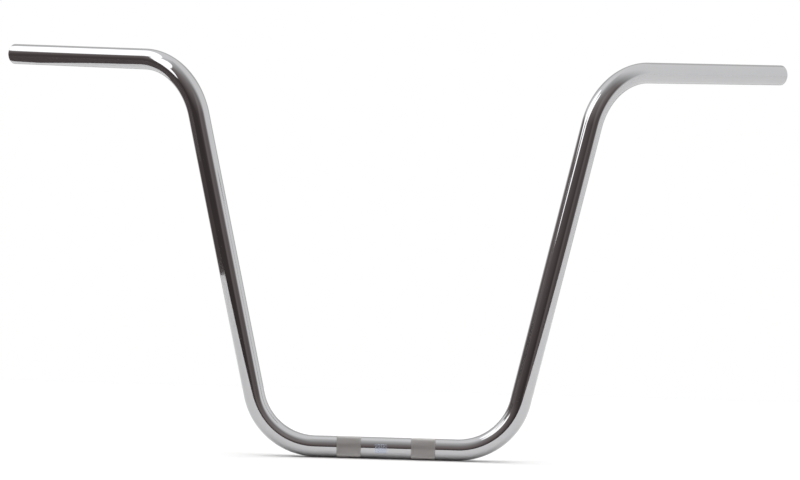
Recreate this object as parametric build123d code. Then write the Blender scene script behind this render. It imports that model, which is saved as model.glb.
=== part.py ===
from build123d import *
import os

# A tall, wide motorcycle handlebar: one steel tube with four bends, chrome plated all over.
# Origin: on the tube's axis, at the middle of the straight length that the risers clamp.
# +X: across the motorcycle, to the rider's left. +Y: back, to the rider. +Z: up the legs.

# Driving dimensions, in millimetres.
TUBE_DIAMETER = 25.4         # 1 in bar
WALL_THICKNESS = 3.05        # 0.120 in wall
LOWER_BEND_RADIUS = 76.2     # 3 in, on the tube's axis, in the two bends beside the clamped length
UPPER_BEND_RADIUS = 84.0     # the same, in the two bends below the grips
BASE_HALF_WIDTH = 146.0      # middle of the bar to each lower corner, along the axis
SHOULDER_HALF_WIDTH = 250.0  # middle of the bar to each upper corner
RISE = 457.2                 # 18 in, from the clamped length up to the upper corners
TIP_HALF_WIDTH = 487.0       # middle of the bar to each end of the tube
TIP_LIFT = 15.0              # how far the ends stand above the upper corners
PULLBACK = 152.4             # 6 in, how far the ends stand behind the legs
END_ROUND = 1.0              # rounding of each end's outer edge
END_CHAMFER = 0.5            # chamfer of each end's inner edge

KNURL_SPACING = 88.9         # 3.5 in between the middles of the two risers
KNURL_LENGTH = 29.0          # each knurled band, along the tube
KNURL_RISE = 0.2             # how far the rolled knurl's crests stand above the tube

LABEL_LENGTH = 14.0          # along the tube
LABEL_HEIGHT = 11.0          # seen from the front
LABEL_CORNER = 1.5
LABEL_THICKNESS = 0.12
LABEL_OFFSET = -6.0          # middle of the label from the middle of the bar

TUBE_RADIUS = TUBE_DIAMETER / 2
BORE_RADIUS = TUBE_RADIUS - WALL_THICKNESS


def centreline():
    """The straight lengths and bends of the tube's axis, from the -X end to the +X end."""
    left_side = [
        Vector(BASE_HALF_WIDTH, 0, 0),
        Vector(SHOULDER_HALF_WIDTH, 0, RISE),
        Vector(TIP_HALF_WIDTH, PULLBACK, RISE + TIP_LIFT),
    ]
    right_side = [Vector(-point.X, point.Y, point.Z) for point in reversed(left_side)]
    radii = [UPPER_BEND_RADIUS, LOWER_BEND_RADIUS, LOWER_BEND_RADIUS, UPPER_BEND_RADIUS]
    return FilletPolyline(*right_side, *left_side, radius=radii).edges()


def tube_along(lengths):
    """A plain tube with its bore, along some lengths of the centreline."""
    axis = Wire(lengths)
    start = Plane(axis @ 0, z_dir=axis % 0)
    section = Circle(TUBE_RADIUS) - Circle(BORE_RADIUS)
    return sweep(start * section, path=axis)


def rims_at(tube, tip):
    """The inner and the outer edge of the tube's end face at one point."""
    circles = tube.edges().filter_by(GeomType.CIRCLE)
    at_tip = circles.filter_by(lambda rim: (rim.arc_center - tip).length < WALL_THICKNESS / 2)
    return at_tip.sort_by(SortBy.RADIUS)


def grip_length(length, tip):
    """The straight end of the tube that takes a grip, with its open end deburred."""
    tube = tube_along([length])
    tube = fillet(rims_at(tube, tip)[-1:], END_ROUND)
    return chamfer(rims_at(tube, tip)[:1], END_CHAMFER)


def ring(outer_radius, inner_radius, length, middle):
    """A short tube along X."""
    section = Circle(outer_radius) - Circle(inner_radius)
    return extrude(Plane.YZ.offset(middle - length / 2) * section, amount=length)


def middle_length(lengths):
    """The clamped length, the legs and the bends, with the two knurled bands."""
    tube = tube_along(lengths)
    middle_of_wall = (TUBE_RADIUS + BORE_RADIUS) / 2
    for side in (-1, 1):
        middle = side * KNURL_SPACING / 2
        tube += ring(TUBE_RADIUS + KNURL_RISE, middle_of_wall, KNURL_LENGTH, middle)
    return tube


def handlebar_tube():
    """The whole tube. It is cut square at each end of its two grip lengths, so they are simple solids."""
    lengths = centreline()
    first, last = lengths[0], lengths[-1]
    return Compound(
        children=[
            grip_length(first, first @ 0),
            middle_length(lengths[1:-1]),
            grip_length(last, last @ 1),
        ]
    )


def approval_label():
    """A blank foil, stuck to the front of the tube between the knurled bands."""
    foil = ring(TUBE_RADIUS + LABEL_THICKNESS, TUBE_RADIUS, LABEL_LENGTH, LABEL_OFFSET)
    front = Plane(origin=(LABEL_OFFSET, 0, 0), x_dir=(1, 0, 0), z_dir=(0, -1, 0))
    outline = front * RectangleRounded(LABEL_LENGTH, LABEL_HEIGHT, LABEL_CORNER)
    return foil & extrude(outline, amount=TUBE_DIAMETER)


NODES = {
    "handlebar_tube": handlebar_tube,
    "approval_label": approval_label,
}

os.makedirs("parts", exist_ok=True)
for name, make in NODES.items():
    export_step(make(), f"parts/{name}.step")
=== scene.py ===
import math

import bmesh
import bpy
from mathutils import Matrix, Vector


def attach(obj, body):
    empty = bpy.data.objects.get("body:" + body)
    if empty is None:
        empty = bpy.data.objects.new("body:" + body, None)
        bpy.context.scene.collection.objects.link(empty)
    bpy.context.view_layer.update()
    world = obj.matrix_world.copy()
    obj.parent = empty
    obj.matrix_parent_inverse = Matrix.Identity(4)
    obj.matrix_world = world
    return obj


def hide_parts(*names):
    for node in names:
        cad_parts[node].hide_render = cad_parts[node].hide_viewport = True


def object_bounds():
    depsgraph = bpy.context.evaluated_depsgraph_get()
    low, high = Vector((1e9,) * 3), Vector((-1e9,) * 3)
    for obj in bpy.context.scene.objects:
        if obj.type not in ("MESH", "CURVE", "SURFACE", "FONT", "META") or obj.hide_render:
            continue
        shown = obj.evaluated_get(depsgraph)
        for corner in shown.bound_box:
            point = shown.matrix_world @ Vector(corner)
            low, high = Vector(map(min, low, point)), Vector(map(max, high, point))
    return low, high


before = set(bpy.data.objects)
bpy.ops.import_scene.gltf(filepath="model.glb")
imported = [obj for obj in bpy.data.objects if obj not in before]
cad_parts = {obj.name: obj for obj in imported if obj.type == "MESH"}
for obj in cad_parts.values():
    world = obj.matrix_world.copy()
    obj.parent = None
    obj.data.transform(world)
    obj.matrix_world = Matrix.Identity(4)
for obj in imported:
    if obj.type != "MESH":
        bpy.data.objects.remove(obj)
cad_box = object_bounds()
scene = bpy.context.scene

MM = 0.001

# ---- The bar's dimensions, in metres, as in the CAD model ----
# The tube's and the crests' radii are 0.05 mm less, so that the round skin stays inside the CAD
# mesh's flat facets.
TUBE_RADIUS = 12.65 * MM
BORE_RADIUS = 9.65 * MM
LOWER_BEND_RADIUS = 76.2 * MM
UPPER_BEND_RADIUS = 84.0 * MM
BASE_HALF_WIDTH = 146.0 * MM
SHOULDER_HALF_WIDTH = 250.0 * MM
RISE = 457.2 * MM
TIP_HALF_WIDTH = 487.0 * MM
TIP_LIFT = 15.0 * MM
PULLBACK = 152.4 * MM
END_ROUND = 1.0 * MM
END_CHAMFER = 0.5 * MM

KNURL_MIDDLE = 44.45 * MM
KNURL_LENGTH = 29.0 * MM
KNURL_CREST = 12.85 * MM
KNURL_VALLEY = 12.5 * MM
KNURL_BED = 12.2 * MM        # the tube is let down to this under a band
KNURL_INSIDE = 12.1 * MM     # the inside of a band, just below the bed
KNURL_DIAMONDS = 64          # round the tube
KNURL_FLAT = 0.28            # how much of a diamond's width its flat top takes
KNURL_SHARP = 15.0           # degrees: edges that turn by more than this are drawn sharp

LABEL_LENGTH = 14.0 * MM
LABEL_HEIGHT = 11.0 * MM
LABEL_CORNER = 1.5 * MM
LABEL_THICKNESS = 0.1 * MM
LABEL_OFFSET = -6.0 * MM
LABEL_SUNK = 0.02 * MM       # how far its back goes into the tube
LABEL_EDGE = 0.4             # how much of its thickness the soft edge takes
LABEL_COLUMNS, LABEL_LINES = 40, 24
LABEL_SHARP = 50.0           # degrees

ROUND_SEGMENTS = 120         # round the tube
BEND_STEPS = 60              # along each bend
STRAIGHT_STEP = 8.0 * MM     # along each straight length
RIM_STEPS = 8                # round the edge of an open end

# ---- The camera, its place found by its turn about the bar's own origin ----
CAMERA_DISTANCE = 2.5
CAMERA_YAW = math.radians(-0.20)
CAMERA_ROLL = math.radians(1.62)
CAMERA_SIDEWAYS = 16.8 * MM
CAMERA_UPWARDS = 249.1 * MM
CAMERA_LENS = 93.9


# ---------------------------------------------------------------- the camera
def make_camera():
    data = bpy.data.cameras.new("camera")
    data.lens = CAMERA_LENS
    data.sensor_width = 36.0
    camera = bpy.data.objects.new("camera", data)
    scene.collection.objects.link(camera)
    turn = Matrix.Rotation(CAMERA_ROLL, 4, "Y") @ Matrix.Rotation(CAMERA_YAW, 4, "Z")
    stand = Matrix.Translation((CAMERA_SIDEWAYS, -CAMERA_DISTANCE, CAMERA_UPWARDS))
    level = Matrix.Rotation(math.radians(90.0), 4, "X")
    camera.matrix_world = turn.inverted() @ stand @ level
    scene.camera = camera


# ------------------------------------------------------------- mesh helpers
def corners():
    """The corners of the tube's axis, from the -X end to the +X end."""
    left = [
        Vector((BASE_HALF_WIDTH, 0, 0)),
        Vector((SHOULDER_HALF_WIDTH, 0, RISE)),
        Vector((TIP_HALF_WIDTH, PULLBACK, RISE + TIP_LIFT)),
    ]
    right = [Vector((-p.x, p.y, p.z)) for p in reversed(left)]
    return right + left


def centreline():
    """(point, direction, distance) along the tube's axis, from the -X end to the +X end."""
    points = corners()
    radii = [0, UPPER_BEND_RADIUS, LOWER_BEND_RADIUS, LOWER_BEND_RADIUS, UPPER_BEND_RADIUS]
    out = []
    travelled = 0.0
    start = points[0]
    for i in range(1, len(points)):
        along = (points[i] - points[i - 1]).normalized()
        last = i == len(points) - 1
        if last:
            end = points[i]
        else:
            ahead = (points[i + 1] - points[i]).normalized()
            turn = along.angle(ahead)
            radius = radii[i]
            end = points[i] - along * radius * math.tan(turn / 2)
        length = (end - start).length
        steps = max(2, round(length / STRAIGHT_STEP))
        for k in range(steps + 1):
            if k or i == 1:
                point = start + along * length * k / steps
                out.append((point, along, travelled + length * k / steps))
        travelled += length
        if last:
            break
        inward = (ahead - along * ahead.dot(along)).normalized()
        centre = end + inward * radius
        for k in range(1, BEND_STEPS + 1):
            a = turn * k / BEND_STEPS
            point = centre + radius * (along * math.sin(a) - inward * math.cos(a))
            direction = along * math.cos(a) + inward * math.sin(a)
            out.append((point, direction, travelled + radius * a))
        travelled += radius * turn
        start = out[-1][0]
    return out


def finish_mesh(name, bm, sharp_degrees=30.0):
    """Turns a bmesh into an object with smooth faces and sharp edges where it turns sharply."""
    bmesh.ops.recalc_face_normals(bm, faces=bm.faces)
    limit = math.radians(sharp_degrees)
    for face in bm.faces:
        face.smooth = True
    for edge in bm.edges:
        if len(edge.link_faces) == 2 and edge.calc_face_angle() > limit:
            edge.smooth = False
    mesh = bpy.data.meshes.new(name)
    bm.to_mesh(mesh)
    bm.free()
    piece = bpy.data.objects.new(name, mesh)
    scene.collection.objects.link(piece)
    return piece


def square_to(direction, across):
    """across, turned the least way to stand square to direction."""
    return (across - direction * across.dot(direction)).normalized()


def directions_across(line):
    """A direction across the tube at each station, carried along without twist."""
    across = Vector((0, 0, 1))
    out = []
    for _, direction, _ in line:
        across = square_to(direction, across)
        out.append(across)
    return out


# ------------------------------------------------------------------ the tube
def skin_stations(line):
    """Stations (point, direction, distance, radius) of the outer skin, let down under each band."""
    middle = line[-1][2] / 2
    steps = []
    for side in (-1, 1):
        low, high = sorted(side * (KNURL_MIDDLE + end * KNURL_LENGTH / 2) for end in (-1, 1))
        steps += [
            (middle + low, TUBE_RADIUS),
            (middle + low, KNURL_BED),
            (middle + high, KNURL_BED),
            (middle + high, TUBE_RADIUS),
        ]
    spans = [(steps[0][0], steps[3][0]), (steps[4][0], steps[7][0])]
    out = [
        (*station, TUBE_RADIUS)
        for station in line
        if not any(low - 1e-6 <= station[2] <= high + 1e-6 for low, high in spans)
    ]
    for distance, radius in steps:
        out.append((Vector((distance - middle, 0, 0)), Vector((1, 0, 0)), distance, radius))
    # a stable sort keeps each step's two radii in order
    out.sort(key=lambda station: station[2])
    return out


def end_stations(line, at_start):
    """Stations round one open end, from the skin over the rounded rim and the face to the bore."""
    point, direction, distance = line[0] if at_start else line[-1]
    inward = direction if at_start else -direction
    sign = 1 if at_start else -1
    profile = []
    for k in range(RIM_STEPS + 1):
        a = math.pi / 2 * k / RIM_STEPS
        depth = END_ROUND * (1 - math.sin(a))
        profile.append((depth, TUBE_RADIUS - END_ROUND * (1 - math.cos(a))))
    profile += [(0.0, BORE_RADIUS + END_CHAMFER), (END_CHAMFER, BORE_RADIUS)]
    return [
        (point + inward * depth, direction, distance + sign * depth, radius)
        for depth, radius in profile
    ]


def make_tube():
    """The whole tube as one closed skin: outside, round both rims, and back through the bore."""
    line = centreline()
    length = line[-1][2]
    skin = [s for s in skin_stations(line) if END_ROUND < s[2] < length - END_ROUND]
    bore = [
        (*station, BORE_RADIUS)
        for station in reversed(line)
        if END_CHAMFER < station[2] < length - END_CHAMFER
    ]
    first_end = list(reversed(end_stations(line, True)))
    far_end = end_stations(line, False)
    stations = first_end + skin + far_end + bore
    chrome_until = len(first_end) + len(skin) + len(far_end) - 1

    # the same twist-free directions serve the skin and the bore, found by distance along the tube
    directions = directions_across(line)
    marks = [distance for _, _, distance in line]

    bm = bmesh.new()
    flat = bm.verts.layers.float_vector.new("along_tube")
    rings = []
    for point, direction, distance, radius in stations:
        nearest = min(range(len(marks)), key=lambda k: abs(marks[k] - distance))
        u = square_to(direction, directions[nearest])
        v = direction.cross(u)
        ring = []
        for k in range(ROUND_SEGMENTS):
            a = 2 * math.pi * k / ROUND_SEGMENTS
            vert = bm.verts.new(point + radius * (u * math.cos(a) + v * math.sin(a)))
            vert[flat] = (distance, radius * math.cos(a), radius * math.sin(a))
            ring.append(vert)
        rings.append(ring)
    for i, ring in enumerate(rings):
        following = rings[(i + 1) % len(rings)]
        for k in range(ROUND_SEGMENTS):
            n = (k + 1) % ROUND_SEGMENTS
            face = bm.faces.new((ring[k], ring[n], following[n], following[k]))
            face.material_index = 0 if i < chrome_until else 1
    return finish_mesh("bar_tube", bm)


# ----------------------------------------------------------- the knurled bands
def make_knurl(name, side):
    """A closed ring with rows of flat-topped diamonds outside, as a knurling wheel rolls them."""
    width = 2 * math.pi * TUBE_RADIUS / KNURL_DIAMONDS
    rows = 2 * round(KNURL_LENGTH / width)
    step = KNURL_LENGTH / rows
    turn = 2 * math.pi / KNURL_DIAMONDS
    start = side * KNURL_MIDDLE - KNURL_LENGTH / 2
    bm = bmesh.new()
    flat = bm.verts.layers.float_vector.new("along_tube")
    height = bm.verts.layers.float.new("height")

    def vert(x, angle, radius, high=0.0):
        y, z = radius * math.cos(angle), radius * math.sin(angle)
        made = bm.verts.new((start + x, y, z))
        made[flat] = (start + x, y, z)
        made[height] = high
        return made

    # crossings of the two sets of grooves: row j, shifted half a diamond on odd rows
    valley = [
        [
            vert(j * step, turn * (i + 0.5 * (j % 2)), KNURL_VALLEY)
            for i in range(KNURL_DIAMONDS)
        ]
        for j in range(rows + 1)
    ]
    reach, swing = step * KNURL_FLAT, turn * KNURL_FLAT / 2

    def top(x, angle):
        """The four corners of a diamond's flat top: towards -X, round, towards +X, back round."""
        return [
            vert(x + along * reach, angle + around * swing, KNURL_CREST, 1.0)
            for along, around in ((-1, 0), (0, 1), (1, 0), (0, -1))
        ]

    for j in range(1, rows):
        for i in range(KNURL_DIAMONDS):
            # the diamond whose middle is in row j, between two of that row's crossings
            angle = turn * (i + 0.5 * (j % 2) + 0.5)
            before = (i + (j % 2)) % KNURL_DIAMONDS
            ring = [
                valley[j - 1][before],
                valley[j][(i + 1) % KNURL_DIAMONDS],
                valley[j + 1][before],
                valley[j][i],
            ]
            crown = top(j * step, angle)
            bm.faces.new(crown)
            for k in range(4):
                n = (k + 1) % 4
                bm.faces.new((ring[k], ring[n], crown[n], crown[k]))
    # half diamonds along the two ends
    for j, beside in ((0, 1), (rows, rows - 1)):
        for i in range(KNURL_DIAMONDS):
            n = (i + 1) % KNURL_DIAMONDS
            across = valley[beside][(i + (j % 2)) % KNURL_DIAMONDS]
            bm.faces.new((valley[j][i], valley[j][n], across))
    # down into the tube at both ends, and round the inside
    inner = [
        [
            vert(j * step, turn * (i + 0.5 * (j % 2)), KNURL_INSIDE)
            for i in range(KNURL_DIAMONDS)
        ]
        for j in (0, rows)
    ]
    for i in range(KNURL_DIAMONDS):
        n = (i + 1) % KNURL_DIAMONDS
        bm.faces.new((valley[0][i], valley[0][n], inner[0][n], inner[0][i]))
        bm.faces.new((valley[rows][i], valley[rows][n], inner[1][n], inner[1][i]))
        bm.faces.new((inner[0][i], inner[0][n], inner[1][n], inner[1][i]))
    return finish_mesh(name, bm, KNURL_SHARP)


# ------------------------------------------------------------------ the label
def make_label():
    """A thin curved foil with rounded corners and a soft edge, wrapped on the front of the tube."""
    columns, lines = LABEL_COLUMNS, LABEL_LINES
    bm = bmesh.new()
    inside = TUBE_RADIUS - LABEL_SUNK
    outside = TUBE_RADIUS + LABEL_THICKNESS

    def half_height(x):
        """Half the label's height at x, less at its rounded corners."""
        over = abs(x) - (LABEL_LENGTH / 2 - LABEL_CORNER)
        full = LABEL_HEIGHT / 2
        if over <= 0:
            return full
        return full - LABEL_CORNER + math.sqrt(max(LABEL_CORNER**2 - over**2, 0.0))

    def sheet(radius, shrink):
        """Rows of points over the label at one radius, drawn in by shrink all round."""
        rows = []
        for i in range(columns + 1):
            # columns are closer together towards the two ends, where the corners are
            x = -math.cos(math.pi * i / columns) * LABEL_LENGTH / 2
            high = half_height(x) - shrink
            x *= 1 - 2 * shrink / LABEL_LENGTH
            row = []
            for k in range(lines + 1):
                angle = (-1 + 2 * k / lines) * high / TUBE_RADIUS
                place = (LABEL_OFFSET + x, -radius * math.cos(angle), radius * math.sin(angle))
                row.append(bm.verts.new(place))
            rows.append(row)
        return rows

    def border(rows):
        """The points round a sheet's edge, in order."""
        return (
            [rows[i][0] for i in range(columns)]
            + [rows[columns][k] for k in range(lines)]
            + [rows[i][lines] for i in range(columns, 0, -1)]
            + [rows[0][k] for k in range(lines, 0, -1)]
        )

    soft = LABEL_EDGE * LABEL_THICKNESS
    face = sheet(outside, soft)
    shoulder = sheet(outside - soft, 0.0)
    back = sheet(inside, 0.0)
    for rows in (face, back):
        for i in range(columns):
            for k in range(lines):
                bm.faces.new((rows[i][k], rows[i + 1][k], rows[i + 1][k + 1], rows[i][k + 1]))
    edges = [border(rows) for rows in (face, shoulder, back)]
    kept = set(edges[1])
    for row in shoulder:
        for vert in row:
            if vert not in kept:
                bm.verts.remove(vert)
    for upper, lower in zip(edges, edges[1:]):
        for k in range(len(upper)):
            n = (k + 1) % len(upper)
            bm.faces.new((upper[k], upper[n], lower[n], lower[k]))
    return finish_mesh("blank_label", bm, LABEL_SHARP)


# -------------------------------------------------------------- node helpers
class Graph:
    """A few short calls that add nodes to one node tree and wire them up."""

    def __init__(self, tree):
        self.nodes, self.links = tree.nodes, tree.links

    def node(self, kind, **settings):
        made = self.nodes.new(kind)
        for key, value in settings.items():
            setattr(made, key, value)
        return made

    def feed(self, socket, value):
        """Joins a node's output to a socket, or sets the socket to a plain value."""
        if isinstance(value, bpy.types.NodeSocket):
            self.links.new(value, socket)
        else:
            socket.default_value = value

    def math(self, operation, first, second=0.0, third=0.0):
        made = self.node("ShaderNodeMath", operation=operation)
        for socket, value in zip(made.inputs, (first, second, third)):
            self.feed(socket, value)
        return made.outputs[0]

    def times(self, first, second):
        return self.math("MULTIPLY", first, second)

    def plus(self, first, second):
        return self.math("ADD", first, second)

    def map(self, interpolation, *values):
        made = self.node("ShaderNodeMapRange", interpolation_type=interpolation)
        for socket, given in zip(made.inputs, values):
            self.feed(socket, given)
        return made.outputs[0]

    def step(self, value, low, high, start=0.0, end=1.0):
        """A smooth step from start to end, as value goes from low to high."""
        return self.map("SMOOTHSTEP", value, low, high, start, end)

    def slope(self, value, low, high, start=0.0, end=1.0):
        """A straight ramp from start to end, held at both ends."""
        return self.map("LINEAR", value, low, high, start, end)

    def blend(self, first, second, factor):
        """first where factor is 0, second where it is 1, for numbers."""
        made = self.node("ShaderNodeMix", data_type="FLOAT")
        for i, value in ((0, factor), (2, first), (3, second)):
            self.feed(made.inputs[i], value)
        return made.outputs[0]

    def tint(self, first, second, factor):
        """first where factor is 0, second where it is 1, for colours."""
        made = self.node("ShaderNodeMix", data_type="RGBA")
        for i, value in ((0, factor), (6, first), (7, second)):
            self.feed(made.inputs[i], value)
        return made.outputs[2]

    def attribute(self, name):
        return self.node("ShaderNodeAttribute", attribute_name=name)

    def noise(self, place, fineness, detail=2.0):
        """Noise from 0 to 1 at a place, with its own fineness (spots per metre) along each axis."""
        spread = self.node("ShaderNodeVectorMath", operation="MULTIPLY")
        self.feed(spread.inputs[0], place)
        spread.inputs[1].default_value = fineness
        made = self.node("ShaderNodeTexNoise")
        self.feed(made.inputs["Vector"], spread.outputs[0])
        made.inputs["Scale"].default_value = 1.0
        made.inputs["Detail"].default_value = detail
        return made.outputs["Fac"]

    def bump(self, height, depth, normal=None):
        """A normal, for a surface that rises by depth where height is 1."""
        made = self.node("ShaderNodeBump")
        made.inputs["Distance"].default_value = depth
        self.feed(made.inputs["Height"], height)
        if normal:
            self.feed(made.inputs["Normal"], normal)
        return made.outputs["Normal"]


# ------------------------------------------------------------------ materials
def new_material(name):
    """A material, its node graph and its shader."""
    material = bpy.data.materials.new(name)
    material.use_nodes = True
    shader = material.node_tree.nodes["Principled BSDF"]
    return material, Graph(material.node_tree), shader


def make_chrome():
    """Polished plate: a mirror with the polishing belt's rings, wipe marks and a slight ripple."""
    material, g, shader = new_material("chrome")
    place = g.attribute("along_tube").outputs["Vector"]
    haze = g.noise(place, (40.0, 60.0, 60.0))
    rings = g.noise(place, (5200.0, 70.0, 70.0))
    wipes = g.noise(place, (30.0, 1100.0, 1100.0))
    ripple = g.noise(place, (24.0, 18.0, 18.0), detail=1.0)
    shader.inputs["Metallic"].default_value = 1.0
    plate = g.tint((0.465, 0.467, 0.48, 1), (0.49, 0.49, 0.495, 1), haze)
    g.feed(shader.inputs["Base Color"], plate)
    clean = g.slope(haze, 0.3, 0.7, 0.03, 0.06)
    marked = g.times(g.step(wipes, 0.6, 0.75), 0.06)
    ringed = g.times(g.step(rings, 0.55, 0.8), 0.05)
    g.feed(shader.inputs["Roughness"], g.plus(clean, g.plus(marked, ringed)))
    g.feed(shader.inputs["Normal"], g.bump(rings, 0.0002 * MM, g.bump(ripple, 0.06 * MM)))
    return material


def make_knurled_chrome():
    """Plate over rolled knurling: satin crests, and a darker colour down in the grooves."""
    material, g, shader = new_material("knurled_chrome")
    place = g.attribute("along_tube").outputs["Vector"]
    crest = g.attribute("height").outputs["Fac"]
    grain = g.noise(place, (2600.0, 2600.0, 2600.0), detail=3.0)
    patches = g.noise(place, (160.0, 160.0, 160.0))
    satin = g.tint((0.57, 0.56, 0.55, 1), (0.66, 0.65, 0.65, 1), patches)
    shader.inputs["Metallic"].default_value = 1.0
    # the grooves and the diamonds' sides get a darker colour than the flat crests
    groove = (0.3, 0.285, 0.27, 1)
    g.feed(shader.inputs["Base Color"], g.tint(groove, satin, g.step(crest, 0.0, 0.6)))
    g.feed(shader.inputs["Roughness"], g.slope(grain, 0.3, 0.7, 0.36, 0.5))
    g.feed(shader.inputs["Normal"], g.bump(grain, 0.012 * MM))
    return material


def make_bore_steel(length):
    """The bore: plate that thins out a few centimetres in, then drawn steel with light rust."""
    material, g, shader = new_material("bore_steel")
    place = g.attribute("along_tube").outputs["Vector"]
    split = g.node("ShaderNodeSeparateXYZ")
    g.feed(split.inputs[0], place)
    distance = split.outputs[0]
    depth = g.math("MINIMUM", distance, g.math("SUBTRACT", length, distance))
    drawn = g.noise(place, (14.0, 900.0, 900.0), detail=3.0)
    rust = g.noise(place, (150.0, 260.0, 260.0), detail=4.0)
    edge = g.plus(depth, g.times(rust, 25.0 * MM))
    plated = g.step(edge, 14.0 * MM, 50.0 * MM, 1.0, 0.0)
    rusty = g.step(rust, 0.52, 0.66)
    bare = g.tint((0.33, 0.32, 0.31, 1), (0.46, 0.45, 0.44, 1), drawn)
    bare = g.tint(bare, (0.3, 0.16, 0.09, 1), rusty)
    g.feed(shader.inputs["Metallic"], g.slope(rusty, 0.0, 1.0, 0.85, 0.2))
    g.feed(shader.inputs["Base Color"], g.tint(bare, (0.48, 0.48, 0.485, 1), plated))
    g.feed(shader.inputs["Roughness"], g.blend(0.55, 0.22, plated))
    g.feed(shader.inputs["Normal"], g.bump(g.plus(drawn, rust), 0.02 * MM))
    return material


def make_foil():
    """Silver-blue foil with a fine brushed grain and a few dull spots."""
    material, g, shader = new_material("label_foil")
    place = g.node("ShaderNodeTexCoord").outputs["Object"]
    brushed = g.noise(place, (300.0, 9000.0, 9000.0))
    spots = g.noise(place, (420.0, 420.0, 420.0), detail=3.0)
    shader.inputs["Metallic"].default_value = 0.85
    foil = g.tint((0.4, 0.43, 0.51, 1), (0.5, 0.53, 0.6, 1), brushed)
    g.feed(shader.inputs["Base Color"], foil)
    g.feed(shader.inputs["Roughness"], g.slope(spots, 0.35, 0.65, 0.14, 0.3))
    g.feed(shader.inputs["Normal"], g.bump(brushed, 0.002 * MM))
    return material


# ------------------------------------------------------------ floor and light
# A sheet of white card lies on a table. Its front and left edges show in the chrome.
CARD_OUTLINE = [(-1.15, -0.65), (5.0, -0.65), (5.0, 1.1), (-1.15, 1.1)]
CARD_WHITE = (0.9, 0.9, 0.9, 1.0)

# A dark flag hangs low on the left, just outside the picture. The left grip's underside mirrors it.
FLAG_OUTLINE = [
    (-0.565, 0.26), (-0.53, 0.13), (-0.465, 0.04), (-0.44, -0.05),
    (-0.8, -0.25), (-1.05, -0.15), (-1.05, 0.26),
]
FLAG_HEIGHT = 0.3

# Two large oval softboxes up on the left and a little one lower down throw the bright streaks on
# the grip length and the bends: (name, middle, first axis, second axis, half size along the two)
SOFTBOXES = [
    ("tall", (-1.775, -1.255, 2.39), (0.22, -0.93, -0.29), (0.11, -0.27, 0.96), (0.48, 1.61)),
    ("small", (-0.87, -0.01, 1.34), (-0.52, -0.8, -0.29), (0.0, -0.35, 0.94), (0.5, 0.7)),
    ("low", (-0.77, -0.3, 0.61), (0.5, -0.87, 0.0), (0.0, 0.0, 1.0), (0.1, 0.125)),
]
SOFTBOX_EDGE = (0.9, 1.0)    # it fades out between these parts of its half size
SOFTBOX_RADIANCE = 2.25
SUN_STRENGTH = 1.2
SUN_SPREAD = math.radians(60.0)
ROOM_BRIGHTNESS = 1.083


def make_card():
    """Plain white card."""
    material, _, shader = new_material("floor_card")
    shader.inputs["Base Color"].default_value = CARD_WHITE
    shader.inputs["Roughness"].default_value = 0.8
    return material


def make_flag_cloth():
    """Dark brown-black cloth with a faint weave."""
    material, g, shader = new_material("flag_cloth")
    place = g.node("ShaderNodeTexCoord").outputs["Object"]
    weave = g.noise(place, (900.0, 900.0, 900.0))
    cloth = g.tint((0.07, 0.055, 0.055, 1), (0.1, 0.08, 0.08, 1), weave)
    g.feed(shader.inputs["Base Color"], cloth)
    shader.inputs["Roughness"].default_value = 0.95
    return material


def make_sheet(name, outline, height, material):
    """A flat sheet of the studio, which isn't part of the object."""
    mesh = bpy.data.meshes.new(name)
    mesh.from_pydata([(x, y, height) for x, y in outline], [], [range(len(outline))])
    sheet = bpy.data.objects.new(name, mesh)
    scene.collection.objects.link(sheet)
    sheet.data.materials.append(material)
    return sheet


def make_floor():
    """The card under the bar, and the dark flag that only the chrome sees."""
    make_sheet("floor", CARD_OUTLINE, cad_box[0].z, make_card())
    flag = make_sheet("flag", FLAG_OUTLINE, FLAG_HEIGHT, make_flag_cloth())
    # it is only there to be mirrored
    flag.visible_camera = flag.visible_diffuse = flag.visible_shadow = False


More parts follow.
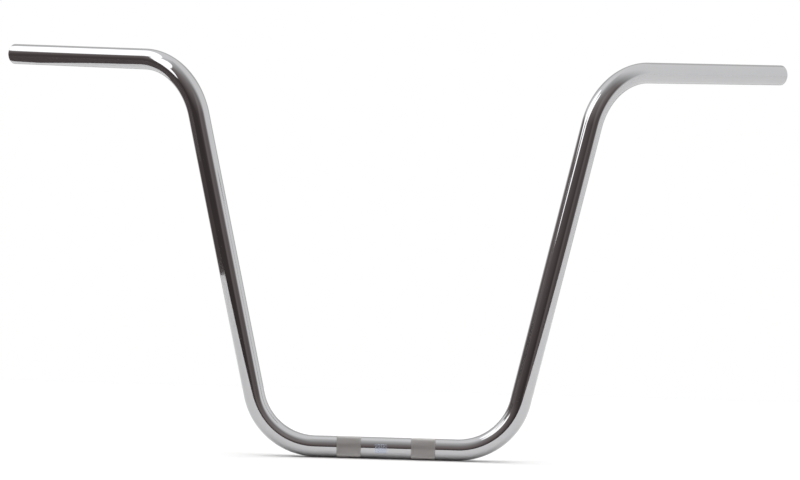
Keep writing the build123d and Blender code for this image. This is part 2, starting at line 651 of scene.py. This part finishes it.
def make_world():
    """What the chrome mirrors: a pale room, dark and brownish low in front and to the left.

    Bearing is 0 towards the front (-Y) and grows to +X. Height is degrees above the level.
    """
    world = bpy.data.worlds.new("studio")
    scene.world = world
    world.use_nodes = True
    g = Graph(world.node_tree)
    background = world.node_tree.nodes["Background"]
    output = world.node_tree.nodes["World Output"]
    place = g.node("ShaderNodeSeparateXYZ")
    g.feed(place.inputs[0], g.node("ShaderNodeTexCoord").outputs["Generated"])
    x, y, z = place.outputs
    bearing = g.times(g.math("ARCTAN2", x, g.times(y, -1.0)), math.degrees(1.0))
    height = g.math("MAXIMUM", g.times(g.math("ARCSINE", z), math.degrees(1.0)), 0.0)
    leftward = g.times(bearing, -1.0)
    turned = g.math("ABSOLUTE", bearing)

    # the front: dark low down, brighter towards the ceiling
    low_front = g.slope(height, 0.0, 40.0, 0.055, 0.30)
    front = g.plus(low_front, g.slope(height, 40.0, 90.0, 0.0, 0.55))
    # a grey stretch a little right of the front, and another far to the left, only low down
    near_level = g.step(height, 20.0, 40.0, 1.0, 0.0)
    grey_right = g.times(g.step(bearing, 0.0, 11.0), g.step(bearing, 20.0, 31.0, 1.0, 0.55))
    grey_left = g.step(leftward, 60.0, 68.0)
    greys = g.plus(g.times(grey_right, 0.10), g.times(grey_left, 0.03))
    room = g.plus(front, g.times(greys, near_level))
    # the ceiling is paler to the left
    ceiling_left = g.times(g.step(leftward, 10.0, 90.0), g.step(height, 38.0, 62.0))
    room = g.blend(room, 1.08, ceiling_left)
    # the pale right side: its edge is sharp low down and soft higher up
    edge = g.math("SUBTRACT", 54.0, g.math("MAXIMUM", g.plus(height, -8.0), 0.0))
    right_side = g.step(bearing, edge, 72.0)
    room = g.blend(room, 1.03, right_side)
    # behind on the left it is pale above a low dark wall
    behind_left = g.times(g.step(leftward, 100.0, 118.0), g.step(height, 17.0, 24.0))
    room = g.blend(room, 1.05, behind_left)
    # straight behind it is mid grey, so the tube's edges stand out
    behind = g.times(g.step(turned, 128.0, 150.0), g.step(height, 36.0, 57.0, 1.0, 0.0))
    room = g.blend(room, 0.62, behind)

    warm = g.step(room, 0.05, 0.5, 1.0, 0.0)
    colour = g.tint((1.0, 1.0, 1.0, 1.0), (1.18, 0.96, 0.94, 1.0), warm)
    g.feed(background.inputs["Color"], colour)
    g.feed(background.inputs["Strength"], g.times(room, ROOM_BRIGHTNESS))

    # straight to the camera the background is plain white
    white = g.node("ShaderNodeBackground")
    white.inputs["Color"].default_value = (1, 1, 1, 1)
    mix = g.node("ShaderNodeMixShader")
    g.feed(mix.inputs[0], g.node("ShaderNodeLightPath").outputs["Is Camera Ray"])
    g.feed(mix.inputs[1], background.outputs[0])
    g.feed(mix.inputs[2], white.outputs[0])
    g.feed(output.inputs["Surface"], mix.outputs[0])


def make_glow():
    """Cloth lit from behind, bright in the middle and fading out to nothing at an oval edge."""
    material, g, _ = new_material("softbox_glow")
    place = g.node("ShaderNodeVectorMath", operation="MULTIPLY_ADD")
    g.feed(place.inputs[0], g.node("ShaderNodeTexCoord").outputs["Generated"])
    place.inputs[1].default_value = (2.0, 2.0, 0.0)
    place.inputs[2].default_value = (-1.0, -1.0, 0.0)
    out = g.node("ShaderNodeVectorMath", operation="LENGTH")
    g.feed(out.inputs[0], place.outputs[0])
    emission = g.node("ShaderNodeEmission")
    emission.inputs["Strength"].default_value = SOFTBOX_RADIANCE
    mix = g.node("ShaderNodeMixShader")
    g.feed(mix.inputs[0], g.step(out.outputs["Value"], *SOFTBOX_EDGE))
    g.feed(mix.inputs[1], emission.outputs[0])
    g.feed(mix.inputs[2], g.node("ShaderNodeBsdfTransparent").outputs[0])
    g.feed(material.node_tree.nodes["Material Output"].inputs["Surface"], mix.outputs[0])
    return material


def make_lights():
    """The softboxes, and a wide soft sun overhead that the chrome doesn't mirror."""
    glow = make_glow()
    for name, middle, first, second, (wide, high) in SOFTBOXES:
        first = Vector(first).normalized()
        back = first.cross(Vector(second)).normalized()
        outline = [(-wide, -high), (wide, -high), (wide, high), (-wide, high)]
        softbox = make_sheet(name + "_softbox", outline, 0.0, glow)
        axes = (first, back.cross(first), back)
        softbox.matrix_world = Matrix.Translation(middle) @ Matrix(axes).transposed().to_4x4()
        softbox.visible_camera = False
    data = bpy.data.lights.new("overhead", "SUN")
    data.energy = SUN_STRENGTH
    data.angle = SUN_SPREAD
    overhead = bpy.data.objects.new("overhead", data)
    scene.collection.objects.link(overhead)
    overhead.visible_glossy = False


make_camera()
make_world()
make_lights()
make_floor()

chrome = make_chrome()
tube = make_tube()
tube.data.materials.append(chrome)
tube.data.materials.append(make_bore_steel(centreline()[-1][2]))
knurls = [make_knurl("knurl_right", -1), make_knurl("knurl_left", 1)]
knurled = make_knurled_chrome()
for band in knurls:
    band.data.materials.append(knurled)
label = make_label()
label.data.materials.append(make_foil())

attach(tube, "root")
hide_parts("handlebar_tube")
for band in knurls:
    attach(band, "root")
    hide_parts("handlebar_tube")
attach(label, "root")
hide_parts("approval_label")

scene.view_settings.view_transform = "Standard"

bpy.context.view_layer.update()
